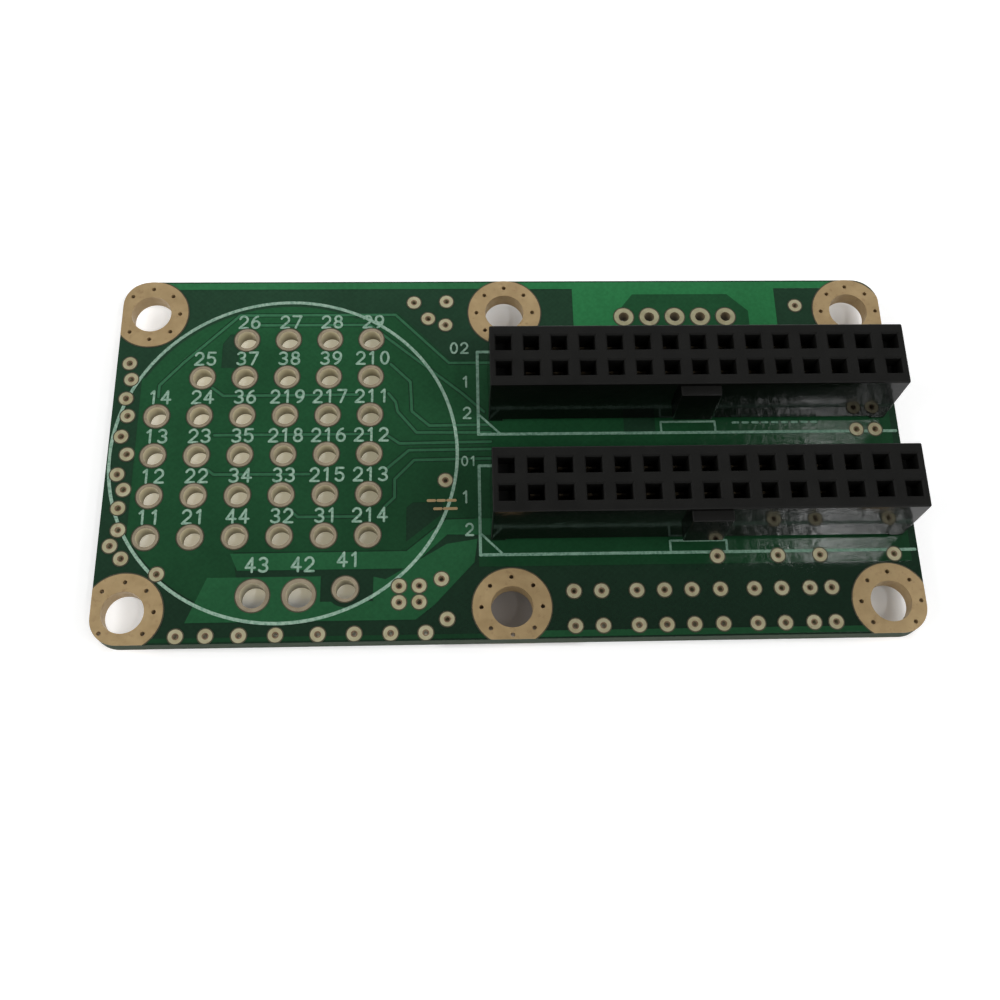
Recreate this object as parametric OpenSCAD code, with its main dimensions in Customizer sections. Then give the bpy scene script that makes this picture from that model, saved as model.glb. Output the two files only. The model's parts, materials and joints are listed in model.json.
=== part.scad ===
// Adapter board: a drilled and plated circuit board that joins a field of wire
// pads to two keyed two-row sockets. Origin: the centre of the mounting-hole
// pattern, on the board's underside. +X right, +Y to the rear, +Z up.

/* [Board] */
// Length of the board, left to right
board_l = 74.8; // [74:0.2:110]
// Depth of the board, front to rear
board_w = 36.3; // [35.5:0.1:60]
// Thickness of the laminate
board_t = 1.6; // [0.8:0.1:3.2]
// Radius of the board's four corners
corner_r = 2.5; // [0.5:0.1:3.2]
// Thickness of the gold-plated copper, on the faces and in the holes
plate_t = 0.05; // [0.03:0.01:0.08]

/* [Mounting holes] */
// Diameter of a mounting hole, inside its plating
mount_hole_d = 3.8; // [2.2:0.1:4.6]
// Width of the plated land round a mounting hole
land_ring = 1.65; // [1.2:0.05:1.8]
// From the left edge to the left holes
left_margin = 2.8; // [2.7:0.1:3.4]
// From the right edge to the right holes
right_margin = 3.2; // [2.7:0.1:4]
// From the front edge to the front holes
front_margin = 2.95; // [2.7:0.05:4]
// From the rear edge to the rear holes
rear_margin = 3.55; // [2.7:0.05:4.5]
// From a mounting hole's wall to the middles of its land's small holes
land_via_in = 0.85; // [0.7:0.05:0.9]
// Least distance from the middle of a land's small hole to the board's edge
land_via_edge = 0.4; // [0.35:0.05:0.6]

/* [Wire pads] */
// Spacing of the wire pads, both ways
wire_pitch = 4.0; // [3.4:0.1:4.2]
// Diameter of a wire pad
wire_pad_d = 2.35; // [2:0.05:2.8]
// Diameter of the hole in a wire pad
wire_hole_d = 1.8; // [0.8:0.1:1.9]
// From the left edge to the first column of wire pads
wire_from_left = 4.2; // [4.2:0.1:5]
// From the front edge to the first row of wire pads
wire_from_front = 9.85; // [9.5:0.05:11]
// Columns of wire pads in a full row
wire_columns = 6; // [3:1:6]
// Diameter of a supply pad
supply_pad_d = 3.0; // [2.6:0.1:3.4]
// Diameter of the hole in a supply pad
supply_hole_d = 2.3; // [1.2:0.1:2.3]

/* [Sockets] */
// Spacing of the contacts, along a row and between rows
contact_pitch = 2.54; // [2:0.01:2.54]
// Contacts in each row of a socket
contact_columns = 13; // [5:1:13]
// From the last window's centre to a socket's end face
socket_end = 1.27; // [1.1:0.01:1.6]
// From a row's centre line to a socket's side face
socket_side = 1.73; // [1.3:0.01:2]
// Height of a socket's top face above the board
socket_h = 8.0; // [7:0.1:12]
// Height of the feet that hold a socket off the board
socket_foot_h = 0.4; // [0.2:0.1:0.8]
// Length of a foot along the socket
socket_foot_l = 1.4; // [0.8:0.1:1.6]
// Width of a square window
window_w = 1.45; // [1.4:0.05:1.6]
// Thickness of the floor under the contacts
socket_floor_t = 1.2; // [0.8:0.1:2]
// Depth of the blind window at each end of a row
blind_depth = 1.6; // [0.5:0.1:3]
// Width of the key on a socket's front face
key_w = 3.7; // [2:0.1:6]
// How far the key stands out
key_out = 0.95; // [0.5:0.05:0.95]
// From the socket's top face down to the key
key_drop = 0.5; // [0.1:0.1:1]
// Height of the key
key_h = 5.4; // [2:0.1:5.4]
// From a socket's right end to the board's right edge
socket_from_right = 1.3; // [0.5:0.05:2]
// From the board's front edge to the front socket's centre line
socket_from_front = 12.15; // [11.8:0.05:14]
// Distance between the two sockets' centre lines
socket_spacing = 11.9; // [11:0.1:14]

/* [Contacts] */
// Thickness of a contact's spring leaves and base
leaf_t = 0.2; // [0.15:0.05:0.25]
// Width of a leaf
leaf_w = 0.9; // [0.8:0.1:1.2]
// Height of a leaf's straight foot
leaf_foot_h = 1.2; // [0.4:0.1:1.6]
// Height of a leaf's flared mouth
flare_h = 0.8; // [0.5:0.1:1.2]
// Gap between the leaves at their narrowest, spread as a 0.64 mm pin holds them
pinch_gap = 0.7; // [0.3:0.05:0.75]
// Clearance between a contact and its cavity's walls
contact_clear = 0.1; // [0.05:0.05:0.15]
// Depth of a contact's tips below the socket's top face
contact_recess = 2.2; // [0.5:0.1:2.4]
// Width of a contact's tail
tail_w = 0.6; // [0.4:0.05:0.65]
// Thickness of a contact's tail
tail_t = 0.3; // [0.2:0.05:0.4]
// Clearance round a tail in the socket's floor
tail_clear = 0.05; // [0.03:0.01:0.1]
// How far a tail stands out under the board
tail_out = 1.6; // [1.2:0.1:3]
// Diameter of a socket's plated hole, inside its plating
socket_hole_d = 0.95; // [0.9:0.05:1.1]
// Diameter of a socket's pad
socket_pad_d = 1.7; // [1.5:0.05:1.8]
// Height of the solder fillet under the board
fillet_h = 0.9; // [0.5:0.1:1.1]
// Thickness of the solder left round the tail at the fillet's tip
fillet_tip = 0.04; // [0.03:0.01:0.08]

/* [Spare header] */
// Holes in the spare header row
header_count = 5; // [2:1:6]
// Spacing of the spare header's holes
header_pitch = 2.54; // [2:0.01:2.54]
// Diameter of a spare header pad
header_pad_d = 1.9; // [1.5:0.05:2]
// Diameter of a spare header hole
header_hole_d = 1.0; // [0.7:0.05:1.1]
// From the right edge to the middle of the spare header
header_from_right = 20.7; // [16:0.1:24]
// From the rear edge to the spare header
header_from_rear = 4.1; // [3:0.1:4.4]

/* [Vias] */
// Diameter of a via's pad
via_pad_d = 1.3; // [0.9:0.05:1.3]
// Diameter of a via's hole
via_hole_d = 0.4; // [0.3:0.05:0.6]

/* [Hidden] */
$fn = 48;
// Least copper between a mounting hole's plating and a small hole's
land_via_web = 0.1;

// Driving lines that the sub-parts share
mount_x = (board_l - left_margin - right_margin) / 2;
mount_y = (board_w - front_margin - rear_margin) / 2;
left_x = -mount_x - left_margin;
right_x = mount_x + right_margin;
front_y = -mount_y - front_margin;
rear_y = mount_y + rear_margin;
top_z = board_t;

// Mounting holes: name, centre, and the directions of the land's small holes
all_round = [for (a = [0:45:315]) a];
MOUNTS = [
    ["front_left", [-mount_x, -mount_y], [0, 45, 90, 135, 225, 315]],
    ["front_middle", [0, -mount_y], all_round],
    ["front_right", [mount_x, -mount_y], [0, 45, 90, 135, 180, 225, 315]],
    ["rear_left", [-mount_x, mount_y], [0, 45, 90, 135, 225, 270, 315]],
    ["rear_middle", [0, mount_y], all_round],
    ["rear_right", [mount_x, mount_y], all_round]
];

// Columns that each row of wire pads leaves out at its left, front row first
row_skip = [0, 0, 0, 0, 1, 2];

// Supply pads: from the left edge, from the front edge, pad, hole
SUPPLY = [
    [14.1, 4.3, supply_pad_d, supply_hole_d],
    [18.2, 4.3, supply_pad_d, supply_hole_d],
    [22.3, 4.8, wire_pad_d, wire_hole_d]
];

// Vias: each group's name, then its points from the left or the right edge
// and from the front or the rear edge
return_x = [32.0, 29.5, 26.3, 23.8, 21.3, 18.7, 15.6, 13.1, 10.5, 8.5];
VIAS = [
    ["vias_left_edge", "left", "front", [
        [1.2, 27.4], [1.5, 25.7], [1.2, 23.7], [1.5, 21.9], [1.1, 19.8],
        [1.8, 18.0], [1.1, 16.0], [1.8, 14.5], [1.5, 12.7], [1.7, 10.6],
        [1.1, 9.1], [2.2, 7.9], [5.5, 6.4]]],
    ["vias_front_edge", "left", "front", [
        for (x = [7.6, 10.2, 13.1, 16.3, 20.0, 23.2, 26.4, 29.5]) [x, 0.7],
        [31.4, 1.9]]],
    ["vias_supply", "left", "front", [
        [27.1, 5.0], [28.9, 5.0], [30.9, 5.6], [27.1, 3.5], [28.9, 3.5]]],
    ["vias_rear", "left", "rear", [
        [28.3, 2.4], [31.5, 2.3], [29.7, 4.2], [31.4, 4.9]]],
    ["via_spare_header", "right", "rear", [[8.5, 2.9]]],
    ["vias_return_front", "right", "front", [for (x = return_x) [x, 1.1]]],
    ["vias_return_rear", "right", "front", [for (x = return_x) [x, 4.3]]],
    ["vias_sockets", "right", "front", [
        [18.7, 7.4], [13.1, 7.4], [9.2, 7.4], [2.3, 7.4],
        [4.1, 19.9], [2.3, 19.9], [43.5, 15.1]]]
];

// Sockets: name and centre
socket_l = (contact_columns + 1) * contact_pitch + 2 * socket_end;
socket_w = contact_pitch + 2 * socket_side;
socket_x = right_x - socket_from_right - socket_l / 2;
socket_front_y = front_y + socket_from_front;
SOCKETS = [
    ["front", [socket_x, socket_front_y]],
    ["rear", [socket_x, socket_front_y + socket_spacing]]
];
cavity_floor_z = top_z + socket_foot_h + socket_floor_t;
socket_top_z = top_z + socket_h;

function two_digits(n) = str(n < 10 ? "0" : "", n);
function contacts_name(socket, n) = str(socket, "_contacts_", two_digits(n));
function edge_x(side, d) = side == "left" ? left_x + d : right_x - d;
function edge_y(side, d) = side == "front" ? front_y + d : rear_y - d;
function via_points(group) =
    [for (p = group[3]) [edge_x(group[1], p[0]), edge_y(group[2], p[1])]];
function wire_row(r) = [
    for (c = [row_skip[r]:1:wire_columns - 1])
        [left_x + wire_from_left + c * wire_pitch,
         front_y + wire_from_front + r * wire_pitch]];
function supply_point(s) = [left_x + s[0], front_y + s[1]];
function header_points() = [
    for (i = [0:header_count - 1])
        [right_x - header_from_right + (i - (header_count - 1) / 2) * header_pitch,
         rear_y - header_from_rear]];
function column_x(socket, n) =
    socket[1][0] + (n - (contact_columns + 1) / 2) * contact_pitch;
function row_y(socket, side) = socket[1][1] + side * contact_pitch / 2;
function socket_points(socket) = [
    for (n = [1:contact_columns], side = [-1, 1])
        [column_x(socket, n), row_y(socket, side)]];

// A land's small hole is pulled in where the board's edge is near: straight
// edges limit it along X and along Y, and a corner's arc along a diagonal
function per(room, share) = share > 0.01 ? room / share : board_l;
function land_via(centre, a) =
    let (dx = abs(cos(a)), dy = abs(sin(a)),
         room_x = cos(a) > 0 ? right_x - centre[0] : centre[0] - left_x,
         room_y = sin(a) > 0 ? rear_y - centre[1] : centre[1] - front_y,
         arc = [room_x - corner_r, room_y - corner_r],
         along = [dx, dy] * arc,
         chord = along * along - arc * arc + pow(corner_r - land_via_edge, 2),
         to_arc = dx * dy > 0.01 ? along + sqrt(max(0, chord)) : board_l,
         r = min(mount_hole_d / 2 + land_via_in, per(room_x - land_via_edge, dx),
                 per(room_y - land_via_edge, dy), to_arc))
    centre + r * [cos(a), sin(a)];
// A small hole with no web left between it and the mounting hole is left out
function land_vias(mount) =
    let (least = (mount_hole_d + via_hole_d) / 2 + 2 * plate_t + land_via_web)
    [for (a = mount[2], p = [land_via(mount[1], a)])
        if (norm(p - mount[1]) >= least) p];

// The board's outline, with its rounded corners
module outline() {
    inner_l = board_l - 2 * corner_r;
    inner_w = board_w - 2 * corner_r;
    translate([(left_x + right_x) / 2, (front_y + rear_y) / 2]) {
        square([board_l, inner_w], center = true);
        square([inner_l, board_w], center = true);
        for (x = [-inner_l / 2, inner_l / 2], y = [-inner_w / 2, inner_w / 2])
            translate([x, y]) circle(r = corner_r);
    }
}

// Holes of one size, wider than their bore by the plating when it is to fit in
module drill(points, bore, plating = plate_t) {
    for (p = points) translate(p) circle(d = bore + 2 * plating);
}

module board() {
    color("#1f5a38") linear_extrude(board_t) difference() {
        outline();
        for (m = MOUNTS) {
            drill([m[1]], mount_hole_d);
            drill(land_vias(m), via_hole_d);
        }
        for (r = [0:len(row_skip) - 1]) drill(wire_row(r), wire_hole_d);
        for (s = SUPPLY) drill([supply_point(s)], s[3]);
        drill(header_points(), header_hole_d);
        for (g = VIAS) drill(via_points(g), via_hole_d);
        for (s = SOCKETS) drill(socket_points(s), socket_hole_d);
    }
}

// A plated land: a gold ring on both faces, joined through the holes
module mount_land(mount) {
    centre = mount[1];
    vias = land_vias(mount);
    color("#b59a68") {
        for (z = [-plate_t, top_z]) translate([0, 0, z]) linear_extrude(plate_t)
            difference() {
                intersection() {
                    translate(centre) circle(d = mount_hole_d + 2 * land_ring);
                    outline();
                }
                drill([centre], mount_hole_d, 0);
                drill(vias, via_hole_d, 0);
            }
        linear_extrude(board_t) difference() {
            union() {
                drill([centre], mount_hole_d);
                drill(vias, via_hole_d);
            }
            drill([centre], mount_hole_d, 0);
            drill(vias, via_hole_d, 0);
        }
    }
}

// A plated hole: an eyelet with a pad on each face
module eyelet(pad, bore) {
    r = bore / 2;
    rotate_extrude() polygon([
        [r, -plate_t], [pad / 2, -plate_t], [pad / 2, 0], [r + plate_t, 0],
        [r + plate_t, top_z], [pad / 2, top_z], [pad / 2, top_z + plate_t],
        [r, top_z + plate_t]]);
}

module eyelets(points, pad, bore) {
    color("#c8b48c") for (p = points) translate(p) eyelet(pad, bore);
}

// A socket's moulded body: a long trough for each row of contacts, a blind
// window at each end of a row, two feet and a key
module socket_housing(socket) {
    foot_x = (socket_l - socket_foot_l) / 2;
    body_h = socket_h - socket_foot_h;
    trough_l = (contact_columns - 1) * contact_pitch + window_w;
    color("#232120") difference() {
        translate([socket[1][0], socket[1][1], top_z]) {
            translate([-socket_l / 2, -socket_w / 2, socket_foot_h])
                cube([socket_l, socket_w, body_h]);
            for (x = [-foot_x, foot_x])
                translate([x - socket_foot_l / 2, -socket_w / 2, 0])
                    cube([socket_foot_l, socket_w, socket_foot_h]);
            translate([-key_w / 2, -socket_w / 2 - key_out, socket_h - key_drop - key_h])
                cube([key_w, key_out + socket_side / 2, key_h]);
        }
        for (p = socket_points(socket))
            translate([p[0] - tail_w / 2 - tail_clear, p[1] - tail_t / 2 - tail_clear, 0])
                cube([tail_w + 2 * tail_clear, tail_t + 2 * tail_clear, socket_h]);
        for (side = [-1, 1]) {
            translate([socket[1][0] - trough_l / 2, row_y(socket, side) - window_w / 2,
                       cavity_floor_z])
                cube([trough_l, window_w, socket_h]);
            for (n = [0, contact_columns + 1])
                translate([column_x(socket, n) - window_w / 2,
                           row_y(socket, side) - window_w / 2, socket_top_z - blind_depth])
                    cube([window_w, window_w, socket_h]);
        }
    }
}

// The cross walls that part a row's windows, kept as solids of their own so
// that the windows stay open where each solid is taken as its convex hull
module socket_cross_walls(socket) {
    wall_t = contact_pitch - window_w;
    color("#2c2a28") for (n = [1:contact_columns - 1], side = [-1, 1])
        translate([column_x(socket, n + 0.5) - wall_t / 2,
                   row_y(socket, side) - window_w / 2, cavity_floor_z])
            cube([wall_t, window_w, socket_top_z - cavity_floor_z]);
}

// One contact: two leaves bowed together over a base, and a tail
module contact() {
    out = window_w / 2 - contact_clear;
    tip_z = socket_top_z - contact_recess;
    pinch_z = tip_z - flare_h;
    knee_z = cavity_floor_z + leaf_foot_h;
    pinch = pinch_gap / 2;
    translate([-leaf_w / 2, 0, 0]) rotate([90, 0, 90]) linear_extrude(leaf_w) {
        for (side = [0, 1]) mirror([side, 0]) polygon([
            [0, cavity_floor_z], [out, cavity_floor_z], [out, knee_z],
            [pinch + leaf_t, pinch_z], [out, tip_z], [out - leaf_t, tip_z],
            [pinch, pinch_z], [out - leaf_t, knee_z],
            [out - leaf_t, cavity_floor_z + leaf_t], [0, cavity_floor_z + leaf_t]]);
    }
    translate([-tail_w / 2, -tail_t / 2, -tail_out])
        cube([tail_w, tail_t, tail_out + cavity_floor_z + leaf_t]);
}

// The contacts of one column, front row and rear row
module contact_pair(socket, n) {
    color("#c2a76a") for (side = [-1, 1])
        translate([column_x(socket, n), row_y(socket, side)]) contact();
}

// Solder that fills a plated hole round its tail and runs down the tail
module solder_joint() {
    bore_r = socket_hole_d / 2;
    tip_r = norm([tail_w, tail_t]) / 2 + fillet_tip;
    difference() {
        rotate_extrude() polygon([
            [0, top_z + plate_t], [bore_r, top_z + plate_t], [bore_r, -plate_t],
            [socket_pad_d / 2, -plate_t], [(socket_pad_d / 2 + tip_r) / 2, -fillet_h / 3],
            [tip_r, -fillet_h], [0, -fillet_h]]);
        translate([-tail_w / 2, -tail_t / 2, -fillet_h - 1])
            cube([tail_w, tail_t, board_t + fillet_h + 2]);
    }
}

module socket_solder(socket) {
    color("#b8bcc0") for (p = socket_points(socket)) translate(p) solder_joint();
}

board();
for (m = MOUNTS)
    mount_land(m);
for (r = [1:len(row_skip)])
    eyelets(wire_row(r - 1), wire_pad_d, wire_hole_d);
for (i = [1:len(SUPPLY)])
    eyelets([supply_point(SUPPLY[i - 1])], SUPPLY[i - 1][2], SUPPLY[i - 1][3]);
eyelets(header_points(), header_pad_d, header_hole_d);  // header_pads
for (g = VIAS)
    eyelets(via_points(g), via_pad_d, via_hole_d);
for (s = SOCKETS) {
    socket_housing(s);
    socket_cross_walls(s);
    eyelets(socket_points(s), socket_pad_d, socket_hole_d);
    socket_solder(s);
    for (n = [1:contact_columns])
        contact_pair(s, n);
}
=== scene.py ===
import json
import math

import bmesh
import bpy
from mathutils import Matrix, Vector
from mathutils.geometry import delaunay_2d_cdt


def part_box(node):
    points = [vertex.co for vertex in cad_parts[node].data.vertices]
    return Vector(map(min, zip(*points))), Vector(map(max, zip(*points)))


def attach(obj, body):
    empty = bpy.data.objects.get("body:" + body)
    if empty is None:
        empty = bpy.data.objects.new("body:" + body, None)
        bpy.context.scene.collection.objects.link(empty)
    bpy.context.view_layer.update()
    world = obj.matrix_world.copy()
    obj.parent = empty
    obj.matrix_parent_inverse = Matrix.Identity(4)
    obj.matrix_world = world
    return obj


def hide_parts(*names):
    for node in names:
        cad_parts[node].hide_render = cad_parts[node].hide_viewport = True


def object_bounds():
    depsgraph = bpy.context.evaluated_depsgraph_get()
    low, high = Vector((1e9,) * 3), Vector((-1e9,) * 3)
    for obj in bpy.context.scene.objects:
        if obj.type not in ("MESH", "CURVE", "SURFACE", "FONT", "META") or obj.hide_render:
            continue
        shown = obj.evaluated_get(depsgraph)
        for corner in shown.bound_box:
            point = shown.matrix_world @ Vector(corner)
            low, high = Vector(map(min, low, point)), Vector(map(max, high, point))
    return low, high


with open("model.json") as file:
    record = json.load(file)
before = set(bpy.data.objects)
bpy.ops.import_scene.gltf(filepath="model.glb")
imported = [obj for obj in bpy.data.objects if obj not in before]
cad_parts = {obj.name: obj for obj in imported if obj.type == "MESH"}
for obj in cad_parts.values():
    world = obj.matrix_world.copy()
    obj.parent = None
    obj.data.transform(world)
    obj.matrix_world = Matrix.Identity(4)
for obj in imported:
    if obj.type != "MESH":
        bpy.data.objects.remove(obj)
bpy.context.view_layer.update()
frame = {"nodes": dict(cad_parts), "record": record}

MM = 0.001


# ---------------------------------------------------------------- the frame
# Lengths are in millimetres here; they become metres where a mesh, a shader
# or an object takes them.

WELD = 1e-6           # metres within which a node's vertices count as one


def node_points(node):
    """A CAD node's vertices, in millimetres."""
    return [v.co / MM for v in frame["nodes"][node].data.vertices]


def span(points):
    """Lowest and highest corner of some points."""
    points = list(points)
    low = Vector(min(p[i] for p in points) for i in range(3))
    high = Vector(max(p[i] for p in points) for i in range(3))
    return low, high


def box(node):
    """Lowest and highest corner of a CAD node, in millimetres."""
    low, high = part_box(node)
    return Vector(low) / MM, Vector(high) / MM


def mid(node, axis):
    """The middle of a CAD node along an axis, in millimetres."""
    low, high = box(node)
    return (low[axis] + high[axis]) / 2


def solids(node):
    """Centre X, centre Y and width of each separate solid of a CAD node, in millimetres."""
    work = bmesh.new()
    work.from_mesh(frame["nodes"][node].data)
    bmesh.ops.remove_doubles(work, verts=work.verts, dist=WELD)
    seen, found = set(), []
    for start in work.verts:
        if start in seen:
            continue
        seen.add(start)
        stack, group = [start], []
        while stack:
            vert = stack.pop()
            group.append(vert.co / MM)
            for edge in vert.link_edges:
                other = edge.other_vert(vert)
                if other not in seen:
                    seen.add(other)
                    stack.append(other)
        low, high = span(group)
        found.append((round((low.x + high.x) / 2, 3), round((low.y + high.y) / 2, 3),
                      round(high.x - low.x, 3)))
    work.free()
    return sorted(found, key=lambda s: (s[1], s[0]))


def flat(groups):
    return [pad for group in groups for pad in group]


BOARD_LOW, BOARD_HIGH = box("board")
UNDER, TOP = BOARD_LOW.z, BOARD_HIGH.z
LEFT, RIGHT = BOARD_LOW.x, BOARD_HIGH.x
FRONT, REAR = BOARD_LOW.y, BOARD_HIGH.y
CORNER = 2.5          # radius of the board's corners

NAMES = list(frame["nodes"])

wire_rows = [solids(n) for n in sorted(NAMES) if n.startswith("wire_pads_row_")]
supply_pads = [solids(n)[0] for n in sorted(NAMES) if n.startswith("supply_pad_")]
header_pads = solids("header_pads")
vias = flat(solids(n) for n in NAMES if n.startswith("via"))
socket_pads = {n: solids(n) for n in NAMES if n.endswith("_socket_pads")}
every_pad = flat(wire_rows) + supply_pads + header_pads + vias + flat(socket_pads.values())

LAND_D = 7.1          # a land's full width, which the board's edge cuts
corner_dims = next(m for m in frame["record"]["mounts"] if m["name"] == "corner_holes")["dims"]
LAND_X = corner_dims["spacing_x_mm"] / 2
LAND_Y = corner_dims["spacing_y_mm"] / 2


# ------------------------------------------------------------- flat drawing

CDT_INSIDE = 1        # delaunay_2d_cdt keeps only the triangles inside a shape
CDT_MERGE = 1e-5      # and merges points nearer than this
SHARP = 32            # degrees: a smooth piece's sharper edges stay hard


def circle(x, y, radius, count=48):
    step = 2 * math.pi / count
    return [(x + radius * math.cos(i * step), y + radius * math.sin(i * step))
            for i in range(count)]


def arc(x, y, rx, ry, start, end, count=12):
    """Points of an elliptical arc, angles in degrees."""
    angles = [math.radians(start + (end - start) * i / count) for i in range(count + 1)]
    return [(x + rx * math.cos(a), y + ry * math.sin(a)) for a in angles]


def capsule(a, b, width, caps):
    """A straight stroke whose round ends have `caps` sides each."""
    heading = math.atan2(b[1] - a[1], b[0] - a[0])
    r = width / 2
    out = []
    for centre, turn in ((b, -math.pi / 2), (a, math.pi / 2)):
        for i in range(caps + 1):
            angle = heading + turn + math.pi * i / caps
            out.append((centre[0] + r * math.cos(angle), centre[1] + r * math.sin(angle)))
    return out


def stroke(points, width, kind="keep", caps=6):
    return [(kind, capsule(a, b, width, caps)) for a, b in zip(points, points[1:])]


def rounded_outline(inset):
    """The board's outline, moved inwards."""
    r = CORNER - inset
    x0, x1 = LEFT + inset + r, RIGHT - inset - r
    y0, y1 = FRONT + inset + r, REAR - inset - r
    return (arc(x1, y1, r, r, 0, 90, 8) + arc(x0, y1, r, r, 90, 180, 8)
            + arc(x0, y0, r, r, 180, 270, 8) + arc(x1, y0, r, r, 270, 360, 8))


def holes(pads, grow, kind="hole", count=32):
    return [(kind, circle(x, y, width / 2 + grow, count)) for x, y, width in pads]


def land_discs(grow, kind="hole"):
    """The discs of the six mounting lands."""
    return [(kind, circle(x, y, LAND_D / 2 + grow, 64))
            for y in (-LAND_Y, LAND_Y) for x in (-LAND_X, 0.0, LAND_X)]


def region(shapes, rule):
    """The part of the plane where rule holds for the kinds of shape that cover it."""
    coords, faces, kinds = [], [], []
    for kind, points in shapes:
        area = sum(a[0] * b[1] - b[0] * a[1] for a, b in zip(points, points[1:] + points[:1]))
        ordered = points if area > 0 else points[::-1]
        faces.append(list(range(len(coords), len(coords) + len(ordered))))
        coords += [Vector(p) for p in ordered]
        kinds.append(kind)
    verts, _, tris, _, _, sources = delaunay_2d_cdt(coords, [], faces, CDT_INSIDE, CDT_MERGE)
    return verts, [tri for tri, source in zip(tris, sources) if rule({kinds[i] for i in source})]


def slab(shapes, rule, low, high, into):
    """Adds to the bmesh `into` the region's plate between two heights, in millimetres."""
    verts, tris = region(shapes, rule)
    used = sorted({i for tri in tris for i in tri})
    tops, ends = ({i: into.verts.new((verts[i].x * MM, verts[i].y * MM, z * MM)) for i in used}
                  for z in (high, low))
    sides = set()
    for tri in tris:
        into.faces.new([tops[i] for i in tri])
        into.faces.new([ends[i] for i in reversed(tri)])
        for a, b in zip(tri, tri[1:] + tri[:1]):
            if (b, a) in sides:
                sides.discard((b, a))
            else:
                sides.add((a, b))
    for a, b in sorted(sides):
        into.faces.new([tops[a], ends[a], ends[b], tops[b]])


def placed(name, data):
    """A new object of the scene."""
    obj = bpy.data.objects.new(name, data)
    bpy.context.scene.collection.objects.link(obj)
    return obj


def loose_object(name, work):
    """Turns a bmesh into an object of the scene."""
    mesh = bpy.data.meshes.new(name)
    work.to_mesh(mesh)
    work.free()
    return placed(name, mesh)


def piece(name, work, material, smooth=False):
    """Turns a bmesh into a piece of the object that rides on its one body."""
    bmesh.ops.recalc_face_normals(work, faces=work.faces)
    obj = loose_object(name, work)
    mesh = obj.data
    mesh.materials.append(material)
    if smooth:
        mesh.polygons.foreach_set("use_smooth", [True] * len(mesh.polygons))
        mesh.set_sharp_from_angle(angle=math.radians(SHARP))
    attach(obj, "root")
    return obj


# ---------------------------------------------------------------- materials

LEVEL = 0.5                       # least height of a normal that looks up or down
PAINTED_LIGHT_SLOPE_X, PAINTED_LIGHT_SLOPE_Y = 5.0, 20.0      # painted light: how fast the green's tone is made lighter to the left and rear, per metre
PAINTED_LIGHT_MID = 1.05                  # and the painted light's factor at the origin
WEAVE_PITCH = 0.62                # glass threads, in millimetres
WEAVE_RATIO = 1.13                # threads along Y for each one along X
FACE_ROUGH, SIDE_ROUGH = 0.14, 0.92      # of the bare board's faces and cut edge
WALL_PAINTED_SHADE_LOW, WALL_PAINTED_LIGHT_HIGH = 0.45, 1.42  # painted shade and light: factor of a hole's wall tone at the bottom and at the top
PLASTIC = (0.0044, 0.0044, 0.0039), (0.0068, 0.0068, 0.0061)      # darkest and lightest
DUST = (0.06, 0.058, 0.054)
MIX_FACTOR, MIX_A, MIX_B, MIX_RESULT = 0, 6, 7, 2      # colour sockets of the Mix node


def tone(colour, factor):
    return tuple(c * factor for c in colour)


def greys(*stops):
    """Ramp stops of neutral colours."""
    return [(place, (level, level, level)) for place, level in stops]


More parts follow.
